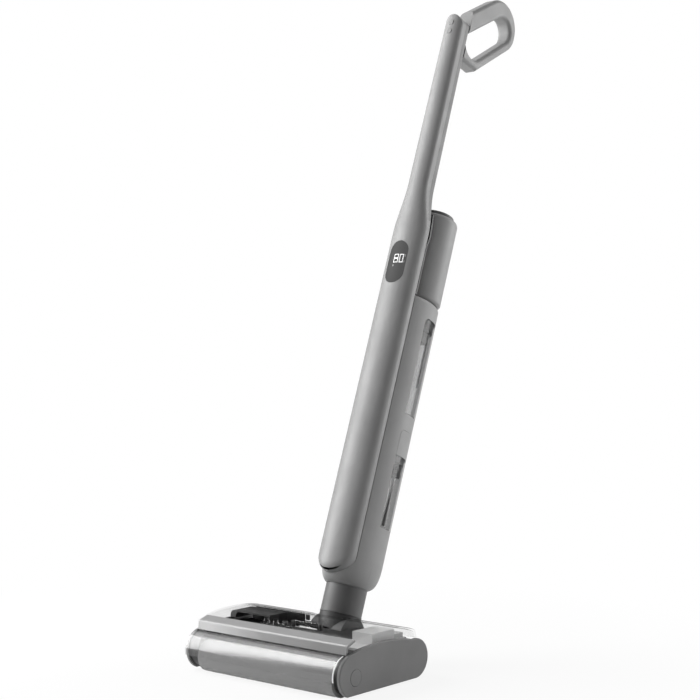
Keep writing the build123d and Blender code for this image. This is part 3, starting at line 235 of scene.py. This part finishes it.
def clear_moulding(name, level, rough, face_shine, edge_shine, edge_level):
    """Clear or smoked wall: it lets light straight through, and shines and darkens towards its
    turned edges."""
    steepness = 4.0
    edge_band = (0.84, 0.97)
    finish, tree, shader, place = start_finish(name)
    shader.inputs["Metallic"].default_value = 1.0
    polish(tree, shader, place, low=244, high=252, rough=rough)
    slant = tree.nodes.new("ShaderNodeLayerWeight").outputs["Facing"]
    steep = reckon(tree, "POWER", slant, steepness)
    darkened = two_tone(tree, slant, grey(level), grey(edge_level), edge_band)
    clear = tree.nodes.new("ShaderNodeBsdfTransparent")
    tree.links.new(darkened, clear.inputs["Color"])
    shine = between(tree, steep, face_shine, edge_shine)
    mix_shaders(tree, shine, clear.outputs["BSDF"], shader.outputs["BSDF"])
    return finish


def clear_block(name, level, rough, index):
    """Thick clear plastic that bends what is seen through it and lets lamps through."""
    finish, tree, shader, place = start_finish(name)
    shader.inputs["Transmission Weight"].default_value = 1.0
    shader.inputs["IOR"].default_value = index
    polish(tree, shader, place, level - 4, level + 4, rough)
    clear = tree.nodes.new("ShaderNodeBsdfTransparent")
    clear.inputs["Color"].default_value = grey(level)
    to_lamp = tree.nodes.new("ShaderNodeLightPath").outputs["Is Shadow Ray"]
    mix_shaders(tree, to_lamp, shader.outputs["BSDF"], clear.outputs["BSDF"])
    return finish


def lit_glass(name, level, glow):
    """Dark display glass with an even faint light behind it."""
    finish, tree, shader, place = start_finish(name)
    shader.inputs["Specular IOR Level"].default_value = 0.06
    shader.inputs["Emission Color"].default_value = grey(glow)
    shader.inputs["Emission Strength"].default_value = 1.0
    mottle = noise(tree, place, mottle_scale, detail=2)
    tone = two_tone(tree, mottle, grey(level - 2), grey(level + 2))
    tree.links.new(tone, shader.inputs["Base Color"])
    gloss = between(tree, noise(tree, place, gloss_scale, detail=3), low=0.4, high=0.5)
    tree.links.new(gloss, shader.inputs["Roughness"])
    return finish


def deck_moulding(name, hood, shelf, dark_level):
    """The deck under the cover: a dark hood, a pale shelf at the right and a black sealing wall at
    the back."""
    finish, tree, shader, place = start_finish(name)
    shader.inputs["Roughness"].default_value = 0.45
    axes = tree.nodes.new("ShaderNodeSeparateXYZ")
    tree.links.new(place, axes.inputs["Vector"])
    tone = mottled(tree, place, hood)
    for axis, start, level in (("Y", seal_from, dark_level), ("X", shelf_from, shelf)):
        beyond = reckon(tree, "GREATER_THAN", axes.outputs[axis], start)
        tone = blend_in(tree, tone, beyond, level)
    tree.links.new(tone, shader.inputs["Base Color"])
    grain = noise(tree, place, grain_scale, detail=1)
    raise_grain(tree, shader, grain, grain_depth, grain_strength)
    return finish


def pod_moulding_with_painted_shade(name, level, dark_level):
    """The motor pod's moulding: satin drum, and a painted shade on the plate that meets the spine,
    dark where the gap between pod and spine lies in shadow.
    """
    shade_clearance = 0.0003
    pin_depth = recline_pin.y * math.cos(lean) - recline_pin.z * math.sin(lean)
    finish, tree, shader, place = start_finish(name)
    along = tree.nodes.new("ShaderNodeVectorMath")
    along.operation = "DOT_PRODUCT"
    along.inputs[1].default_value = (0, math.cos(lean), -math.sin(lean))
    tree.links.new(place, along.inputs[0])
    depth = reckon(tree, "SUBTRACT", along.outputs["Value"], pin_depth + drum_back)
    axes = tree.nodes.new("ShaderNodeSeparateXYZ")
    tree.links.new(place, axes.inputs["Vector"])
    flat = tree.nodes.new("ShaderNodeCombineXYZ")
    tree.links.new(axes.outputs["X"], flat.inputs["X"])
    tree.links.new(depth, flat.inputs["Y"])
    reach = tree.nodes.new("ShaderNodeVectorMath")
    reach.operation = "LENGTH"
    tree.links.new(flat.outputs["Vector"], reach.inputs[0])
    # Outside the drum the plate gets a painted shade for the shadow in the gap between pod and
    # spine
    painted_shade_mask = reckon(
        tree, "GREATER_THAN", reach.outputs["Value"], drum_radius + shade_clearance,
    )
    tone = blend_in(tree, mottled(tree, place, level), painted_shade_mask, dark_level)
    tree.links.new(tone, shader.inputs["Base Color"])
    gloss = between(tree, noise(tree, place, gloss_scale, detail=4), low=0.45, high=0.55)
    tree.links.new(gloss, shader.inputs["Roughness"])
    grain = noise(tree, place, grain_scale, detail=1)
    raise_grain(tree, shader, grain, grain_depth, grain_strength)
    return finish


def rubber(name, level, grain):
    """Matt rubber with a dry bloom."""
    finish, tree, shader, place = start_finish(name)
    bloom = noise(tree, place, scale=90, detail=5)
    tone = two_tone(tree, bloom, grey(level - 6), grey(level + 8))
    tree.links.new(tone, shader.inputs["Base Color"])
    tree.links.new(between(tree, bloom, low=0.72, high=0.9), shader.inputs["Roughness"])
    raise_grain(tree, shader, noise(tree, place, grain, detail=2), depth=0.0001, strength=0.4)
    return finish


def bare_metal(name, colour, rough):
    """Turned metal with fine lines across its axis."""
    finish, tree, shader, place = start_finish(name)
    shader.inputs["Metallic"].default_value = 1.0
    stretch = tree.nodes.new("ShaderNodeMapping")
    stretch.inputs["Scale"].default_value = (1.0, 0.05, 0.05)
    tree.links.new(place, stretch.inputs["Vector"])
    lines = noise(tree, stretch.outputs["Vector"], scale=4000, detail=3)
    darker = [channel * 0.8 for channel in colour] + [1.0]
    tone = two_tone(tree, lines, darker, list(colour) + [1.0])
    tree.links.new(tone, shader.inputs["Base Color"])
    tree.links.new(between(tree, lines, rough - 0.06, rough + 0.08), shader.inputs["Roughness"])
    raise_grain(tree, shader, lines, depth=0.00004, strength=0.2)
    return finish


def nap_cloth(name, level):
    """Short dense microfibre: tufts a little under a millimetre, with painted light on their tips
    and painted shade between them.
    """
    finish, tree, shader, place = start_finish(name)
    shader.inputs["Roughness"].default_value = 0.95
    shader.inputs["Sheen Weight"].default_value = 0.35
    shader.inputs["Sheen Roughness"].default_value = 0.5
    tuft_light_and_shade = tree.nodes.new("ShaderNodeTexVoronoi")
    tuft_light_and_shade.inputs["Scale"].default_value = 1100
    tree.links.new(place, tuft_light_and_shade.inputs["Vector"])
    # Painted light and shade: lighter in the middle of each tuft, darker between the tufts
    tone = two_tone(tree, tuft_light_and_shade.outputs["Distance"], grey(level + 10), grey(level - 22))
    tree.links.new(tone, shader.inputs["Base Color"])
    fibre = noise(tree, place, scale=2200, detail=4)
    raise_grain(tree, shader, fibre, depth=0.0004, strength=0.6)
    return finish


def felt(name, level):
    """Pale pressed filter felt."""
    finish, tree, shader, place = start_finish(name)
    shader.inputs["Roughness"].default_value = 0.95
    fibre = noise(tree, place, scale=1500, detail=6)
    tone = two_tone(tree, fibre, grey(level - 25), grey(level + 10))
    tree.links.new(tone, shader.inputs["Base Color"])
    raise_grain(tree, shader, fibre, depth=0.0003, strength=0.6)
    return finish


def glowing(name, level, strength):
    """Lit segments behind the display's glass."""
    finish, tree, shader, place = start_finish(name)
    shader.inputs["Roughness"].default_value = 0.4
    shader.inputs["Emission Color"].default_value = (1, 1, 1, 1)
    shader.inputs["Emission Strength"].default_value = strength
    unevenness = noise(tree, place, scale=700, detail=1)
    tone = two_tone(tree, unevenness, grey(level - 8), grey(level + 6))
    tree.links.new(tone, shader.inputs["Base Color"])
    return finish


# Each finish with its level of grey, and its roughness where it has one
spine_grey = moulded("spine_satin_grey", 144, 0.46)
housing_grey = moulded("housing_satin_grey", 152, 0.5)
handle_grey = moulded("handle_satin_grey", 144, 0.5)
stick_grey = moulded("stick_back_grey", 122, 0.5)
plate_grey = moulded("side_plate_grey", 118, 0.55)
bar_grey = moulded("cross_bar_grey", 140, 0.16, grain=3200, strength=0.05)
neck_grey = moulded("neck_grey", 96, 0.5)
yoke_grey = moulded("yoke_dark_grey", 50, 0.55)
# The pod's dark level is a painted shade on the plate next to the spine
pod_grey = pod_moulding_with_painted_shade("pod_satin_grey", 152, dark_level=56)
cap_grey = moulded("pod_cap_dark_grey", 74, 0.5)
black_plastic = moulded("black_moulding", 38, 0.48)
chassis_black = moulded("chassis_black", 44, 0.55)
deck_grey = deck_moulding("deck_moulding", hood=60, shelf=206, dark_level=18)
inner_grey = moulded("inner_grey", 92, 0.6)
pale_inner = moulded("pale_inner_grey", 176, 0.45)
board_dark = moulded("circuit_board_dark", 58, 0.4)
display_dark = lit_glass("display_glass", 24, glow=78)
clear_cover = clear_moulding(
    "clear_cover_plastic", 251, 0.03, face_shine=0.03, edge_shine=0.2, edge_level=90,
)
clear_shield = clear_moulding(
    "clear_shield_plastic", 242, 0.2, face_shine=0.06, edge_shine=0.4, edge_level=190,
)
smoked_tank = clear_moulding(
    "smoked_tank_plastic", 214, 0.05, face_shine=0.03, edge_shine=0.25, edge_level=70,
)
clear_parts = clear_block("clear_nozzle_plastic", 240, 0.03, index=1.49)
# A white moulding that is a painted highlight on the shield's edge
painted_edge_highlight = moulded("painted_edge_highlight_white", 238, 0.3)
soft_rubber = rubber("wiper_rubber", 40, grain=900)
wheel_rubber = rubber("tyre_rubber", 44, grain=700)
bright_steel = bare_metal("turned_steel", (0.56, 0.57, 0.58), 0.3)
contact_brass = bare_metal("contact_brass", (0.72, 0.55, 0.26), 0.28)
roller_cloth = nap_cloth("roller_microfibre", 136)
filter_felt = felt("exhaust_felt", 200)
display_light = glowing("display_segments", 244, strength=0.3)
display_faint = glowing("display_faint_segments", 150, strength=0.04)

node_finish = {
    "side_plate_left": plate_grey,
    "side_plate_right": plate_grey,
    "release_button": plate_grey,
    "right_end_frame": black_plastic,
    "belt_case": black_plastic,
    "head_chassis": chassis_black,
    "base_screws": bright_steel,
    "charge_contacts": contact_brass,
    "floor_wiper": soft_rubber,
    "roller_scraper": soft_rubber,
    "suction_duct": chassis_black,
    "inner_deck": deck_grey,
    "spray_manifold": clear_parts,
    "circuit_box": pale_inner,
    "drive_motor": bright_steel,
    "drive_belt": soft_rubber,
    "shaft_bushes": contact_brass,
    "wheel_axles": bright_steel,
    "pivot_pins": bright_steel,
    "top_cover": clear_cover,
    "cross_bar": bar_grey,
    "roller_shield": clear_shield,
    "roller_core": inner_grey,
    "roller_drive_hub": black_plastic,
    "roller_end_plug": black_plastic,
    "roller_pulley": black_plastic,
    "motor_pulley": bright_steel,
    "wheel_left": black_plastic,
    "wheel_right": black_plastic,
    "tyre_left": wheel_rubber,
    "tyre_right": wheel_rubber,
    "tilt_yoke": yoke_grey,
    "swivel_ring": neck_grey,
    "neck_tube": neck_grey,
    "rear_housing": housing_grey,
    "spine_shell": spine_grey,
    "stick_back": stick_grey,
    "handle_loop": handle_grey,
    "motor_pod": pod_grey,
    "pod_cap": cap_grey,
    "display_lens": display_dark,
    "power_button": spine_grey,
    "mode_button": spine_grey,
    "suction_motor": inner_grey,
    "fan_impeller": black_plastic,
    "exhaust_filter": filter_felt,
    "battery_pack": inner_grey,
    "control_board": board_dark,
    "suction_pipe": inner_grey,
    "water_pump": inner_grey,
    "dirty_tank": smoked_tank,
    "dirty_tank_lid": inner_grey,
    "strainer": black_plastic,
    "level_probe": bright_steel,
    "tank_float": pale_inner,
    "clean_tank": smoked_tank,
    "clean_tank_cap": housing_grey,
    "tank_latch": housing_grey,
    "pickup_tube": inner_grey,
}
for node, finish in node_finish.items():
    nodes[node].data.materials.clear()
    nodes[node].data.materials.append(finish)


# The roller's nap
def make_roller_nap():
    """A sleeve of short tufts in the place of the plain sleeve, turned in towards the core at each
    end."""
    round_count = 144
    length_cuts = 200
    tuft_size = 0.0016
    tuft_height = 0.0009
    sunk = 0.0005  # so that the tips of the tufts end at the plain sleeve
    low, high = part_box("roller_sleeve")
    radius = (high.z - low.z) / 2
    length = high.x - low.x
    clear_selection()
    bpy.ops.mesh.primitive_cylinder_add(
        vertices=round_count, radius=radius - sunk, depth=length, end_fill_type="NOTHING",
        location=(low + high) / 2, rotation=(0, math.pi / 2, 0),
    )
    nap = name_piece("roller_nap")
    bpy.ops.object.transform_apply(location=False, rotation=True, scale=True)
    pick_edges(nap, lambda a, b: abs(a.x - b.x) > 0.01)
    bpy.ops.mesh.subdivide(number_cuts=length_cuts)
    for end in (-length / 2, length / 2):
        pick_edges(nap, lambda a, b: abs(a.x - end) < 1e-5 and abs(b.x - end) < 1e-5)
        for share in (0.93, 0.86):
            bpy.ops.mesh.extrude_edges_move()
            bpy.ops.transform.resize(value=(1, share, share))
    bpy.ops.mesh.select_all(action="SELECT")
    bpy.ops.mesh.remove_doubles(threshold=0.00001)
    bpy.ops.mesh.normals_make_consistent(inside=False)
    bpy.ops.object.mode_set(mode="OBJECT")
    tufts = bpy.data.textures.new("roller_tufts", "CLOUDS")
    tufts.noise_scale = tuft_size
    tufts.noise_depth = 2
    raised = nap.modifiers.new("tufts", "DISPLACE")
    raised.texture = tufts
    raised.texture_coords = "LOCAL"
    raised.strength = tuft_height
    raised.mid_level = 0.5
    bpy.ops.object.modifier_apply(modifier="tufts")
    settle(nap)
    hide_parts("roller_sleeve")
    finish_piece(nap, "roller", roller_cloth, smooth=80)


make_roller_nap()


# The display's lit segments
def make_segment_ring(name, finish, left, low, width, height, stroke, cells=1):
    """One upright ring of lit segments on the curve of the display, or two rings one over the
    other, in metres."""
    glass_front = -0.0567  # from the recline pin, square to the body
    above_glass = 0.00012
    segment_depth = 0.0002
    clear_selection()
    bpy.ops.mesh.primitive_plane_add(
        size=1, location=(left + width / 2, glass_front, low + height / 2),
        rotation=(math.pi / 2, 0, 0),
    )
    ring = name_piece(name)
    ring.scale = (width, height, 1)
    bpy.ops.object.transform_apply(location=False, rotation=True, scale=True)
    bpy.ops.object.mode_set(mode="EDIT")
    bpy.ops.mesh.select_all(action="SELECT")
    if cells == 2:
        bpy.ops.mesh.bisect(plane_co=ring.location, plane_no=(0, 0, 1))
    bpy.ops.mesh.select_all(action="SELECT")
    bpy.ops.mesh.inset(thickness=stroke, use_individual=True)
    bpy.ops.mesh.delete(type="FACE")
    bpy.ops.mesh.select_all(action="SELECT")
    bpy.ops.mesh.subdivide(number_cuts=2)
    bpy.ops.object.mode_set(mode="OBJECT")
    settle(ring, on_body=True)
    laid = ring.modifiers.new("laid_on_glass", "SHRINKWRAP")
    laid.target = nodes["display_lens"]
    laid.wrap_method = "NEAREST_SURFACEPOINT"
    laid.wrap_mode = "ABOVE_SURFACE"
    laid.offset = above_glass
    bpy.ops.object.modifier_apply(modifier="laid_on_glass")
    thick = ring.modifiers.new("thickness", "SOLIDIFY")
    thick.thickness = segment_depth
    thick.offset = 0
    bpy.ops.object.modifier_apply(modifier="thickness")
    bpy.ops.object.mode_set(mode="EDIT")
    bpy.ops.mesh.select_all(action="SELECT")
    bpy.ops.mesh.normals_make_consistent(inside=False)
    bpy.ops.object.mode_set(mode="OBJECT")
    finish_piece(ring, "upright", finish)


# Left edge, foot, width, height and stroke of each
make_segment_ring("digit_eight", display_light, -0.0048, 0.5638, 0.0082, 0.0138, 0.0010, cells=2)
make_segment_ring("digit_zero", display_light, 0.0056, 0.5638, 0.0070, 0.0138, 0.0013)
make_segment_ring("share_mark_upper", display_faint, 0.0138, 0.5736, 0.0020, 0.0034, 0.0005)
make_segment_ring("share_mark_lower", display_faint, 0.0137, 0.5642, 0.0020, 0.0026, 0.0006)
make_segment_ring("state_mark", display_faint, -0.0051, 0.5578, 0.0024, 0.0024, 0.0007)


# Small mouldings that show through the cover
def make_block(name, low, high, rounding, finish):
    """A block with rounded edges on the deck, between two corners in metres."""
    low = Vector(low)
    high = Vector(high)
    clear_selection()
    bpy.ops.mesh.primitive_cube_add(size=1, location=(low + high) / 2)
    block = name_piece(name)
    block.scale = high - low
    bpy.ops.object.transform_apply(location=False, rotation=False, scale=True)
    bpy.ops.object.mode_set(mode="EDIT")
    bpy.ops.mesh.select_all(action="SELECT")
    bpy.ops.mesh.bevel(offset=rounding, segments=3, affect="EDGES")
    bpy.ops.object.mode_set(mode="OBJECT")
    settle(block)
    finish_piece(block, "head", finish)


make_block(
    "clear_jet_plate", (-0.0130, 0.0390, 0.0664), (0.0290, 0.0412, 0.0755), 0.0007,
    clear_parts,
)
make_block(
    "rear_seal_end", (-0.0338, 0.0842, 0.0668), (-0.0270, 0.0868, 0.0746), 0.0006,
    soft_rubber,
)
make_block(
    "jet_plate_post_left", (-0.0195, 0.0376, 0.0664), (-0.0145, 0.0426, 0.0750), 0.0008,
    black_plastic,
)
make_block(
    "jet_plate_post_right", (0.0305, 0.0376, 0.0664), (0.0365, 0.0426, 0.0750), 0.0008,
    black_plastic,
)


# A painted highlight along the right edge of the roller shield
def make_shield_edge_highlight():
    """A thin white bead round the right edge of the shield: a painted highlight for the light that
    the clear wall carries to its edge."""
    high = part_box("roller_shield")[1]
    width = 0.0016
    height = 0.0005
    centre_y = -0.02885
    centre_z = 0.03089
    shield_radius = 0.02653
    clearance = 0.0001
    reach = shield_radius + height / 2 + clearance
    start = math.radians(103)
    sweep = math.radians(88)
    steps = 36
    start_y = centre_y + reach * math.cos(start)
    start_z = centre_z + reach * math.sin(start)
    clear_selection()
    bpy.ops.mesh.primitive_plane_add(
        size=1, rotation=(start, 0, 0), location=(high.x - width / 2, start_y, start_z),
    )
    highlight_bead = name_piece("shield_edge_painted_highlight")
    highlight_bead.scale = (width, height, 1)
    bpy.ops.object.transform_apply(location=True, rotation=True, scale=True)
    bpy.ops.object.mode_set(mode="EDIT")
    bpy.ops.mesh.select_all(action="SELECT")
    bpy.ops.mesh.spin(
        steps=steps, angle=-sweep, center=(0, centre_y, centre_z), axis=(1, 0, 0),
    )
    bpy.ops.mesh.select_all(action="SELECT")
    bpy.ops.mesh.normals_make_consistent(inside=False)
    bpy.ops.object.mode_set(mode="OBJECT")
    settle(highlight_bead)
    finish_piece(highlight_bead, "lift_off_cover", painted_edge_highlight)


make_shield_edge_highlight()


# Stage, lights and camera
def make_floor():
    """A plain white floor that still takes the shadow of the object."""
    floor_drop = 0.0004  # keeps it just clear of what stands on it
    floor_white = 0.86
    near, far = 0.25, 0.9  # between these distances from the origin it goes over to pure white
    near_glow, far_glow = 0.88, 1.0
    clear_selection()
    bpy.ops.mesh.primitive_plane_add(size=40, location=(0, 0, -floor_drop))
    floor = name_piece("studio_floor")
    finish = bpy.data.materials.new("white_floor")
    finish.use_nodes = True
    tree = finish.node_tree
    tree.nodes.clear()
    tree.nodes.new("ShaderNodeOutputMaterial")
    paint = tree.nodes.new("ShaderNodeBsdfDiffuse")
    paint.inputs["Color"].default_value = (floor_white, floor_white, floor_white, 1)
    glow = tree.nodes.new("ShaderNodeEmission")
    glow.inputs["Color"].default_value = (1, 1, 1, 1)
    glow.inputs["Strength"].default_value = 1.0
    far_off = tree.nodes.new("ShaderNodeVectorMath")
    far_off.operation = "LENGTH"
    tree.links.new(tree.nodes.new("ShaderNodeTexCoord").outputs["Object"], far_off.inputs[0])
    share = tree.nodes.new("ShaderNodeMapRange")
    share.inputs["From Min"].default_value = near
    share.inputs["From Max"].default_value = far
    share.inputs["To Min"].default_value = near_glow
    share.inputs["To Max"].default_value = far_glow
    tree.links.new(far_off.outputs["Value"], share.inputs["Value"])
    part = tree.nodes.new("ShaderNodeMath")
    part.operation = "MULTIPLY"
    tree.links.new(seen_directly(tree), part.inputs[0])
    tree.links.new(share.outputs["Result"], part.inputs[1])
    mix_shaders(tree, part.outputs["Value"], paint.outputs["BSDF"], glow.outputs["Emission"])
    floor.data.materials.append(finish)


def seen_directly(tree):
    """One for a ray from the camera, a mirror or a clear piece, and zero for others."""
    path = tree.nodes.new("ShaderNodeLightPath")
    some = tree.nodes.new("ShaderNodeMath")
    some.operation = "MAXIMUM"
    tree.links.new(path.outputs["Is Camera Ray"], some.inputs[0])
    tree.links.new(path.outputs["Is Glossy Ray"], some.inputs[1])
    every = tree.nodes.new("ShaderNodeMath")
    every.operation = "MAXIMUM"
    tree.links.new(some.outputs["Value"], every.inputs[0])
    tree.links.new(path.outputs["Is Transmission Ray"], every.inputs[1])
    return every.outputs["Value"]


def make_world():
    """White where it is seen, and a low even light elsewhere."""
    fill_light = 0.22
    world = bpy.data.worlds.new("studio_white")
    world.use_nodes = True
    tree = world.node_tree
    tree.nodes.clear()
    tree.nodes.new("ShaderNodeOutputWorld")
    fill = tree.nodes.new("ShaderNodeBackground")
    fill.inputs["Color"].default_value = (1, 1, 1, 1)
    fill.inputs["Strength"].default_value = fill_light
    white = tree.nodes.new("ShaderNodeBackground")
    white.inputs["Color"].default_value = (1, 1, 1, 1)
    white.inputs["Strength"].default_value = 1.0
    mix_shaders(
        tree, seen_directly(tree), fill.outputs["Background"], white.outputs["Background"],
    )
    bpy.context.scene.world = world


def softbox(name, place, aim, width, height, power):
    """A soft rectangular lamp that looks at a point, its size in metres and its power in watts."""
    lamp = bpy.data.lights.new(name, "AREA")
    lamp.shape = "RECTANGLE"
    lamp.size = width
    lamp.size_y = height
    lamp.energy = power
    holder = bpy.data.objects.new(name, lamp)
    bpy.context.scene.collection.objects.link(holder)
    holder.location = place
    holder.rotation_euler = (Vector(aim) - Vector(place)).to_track_quat("-Z", "Y").to_euler()


def dark_flag(name, place, aim, width, height):
    """A dark card that only shows in glossy surfaces, as a photographer's flag does."""
    card_black = 0.05
    clear_selection()
    bpy.ops.mesh.primitive_plane_add(size=1, location=place)
    card = name_piece(name)
    card.scale = (width, height, 1)
    card.rotation_euler = (Vector(aim) - Vector(place)).to_track_quat("-Z", "Y").to_euler()
    paint = bpy.data.materials.new(name)
    paint.use_nodes = True
    shader = paint.node_tree.nodes["Principled BSDF"]
    shader.inputs["Base Color"].default_value = (card_black, card_black, card_black, 1)
    shader.inputs["Roughness"].default_value = 1.0
    card.data.materials.append(paint)
    card.visible_camera = False
    card.visible_diffuse = False
    card.visible_transmission = False
    card.visible_shadow = False


turn = math.radians(40.1)  # the camera stands this far round to the right of the front
camera_place = (1.3443, -1.4520, 0.459)
lens = 72.98  # millimetres
sensor = 36
right = Vector((math.cos(turn), math.sin(turn), 0))
away = Vector((-math.sin(turn), math.cos(turn), 0))
up = Vector((0, 0, 1))
middle = Vector((0, 0.28, 0.5))  # the lamps look here

make_floor()
make_world()
left_place = middle - right * 1.7 + away * 0.1 + up * 0.55
right_place = middle + right * 1.8 + away * 0.5 + up * 0.2
top_place = middle - right * 1.4 + away * 1.1 + up * 1.9
softbox("left_softbox", left_place, middle, width=1.0, height=2.2, power=47)
softbox("right_softbox", right_place, middle, width=0.9, height=2.2, power=27)
softbox("top_softbox", top_place, middle, width=1.6, height=1.6, power=18)

rear_place = middle + away * 3.0 - right * 2.5 + up * 0.35
side_place = middle - right * 2.6 - away * 1.9
dark_flag("front_flag", middle - away * 3.2, middle, width=4.0, height=3.0)
dark_flag("rear_flag", rear_place, rear_place - away, width=5.0, height=2.3)
dark_flag("left_flag", side_place, middle, width=2.8, height=3.0)

view = bpy.data.cameras.new("photo_view")
view.sensor_width = sensor
view.lens = lens
view.clip_end = 100
camera = bpy.data.objects.new("photo_view", view)
bpy.context.scene.collection.objects.link(camera)
camera.location = camera_place
camera.rotation_euler = (math.pi / 2, 0, turn)
bpy.context.scene.camera = camera
bpy.context.scene.view_settings.view_transform = "Standard"
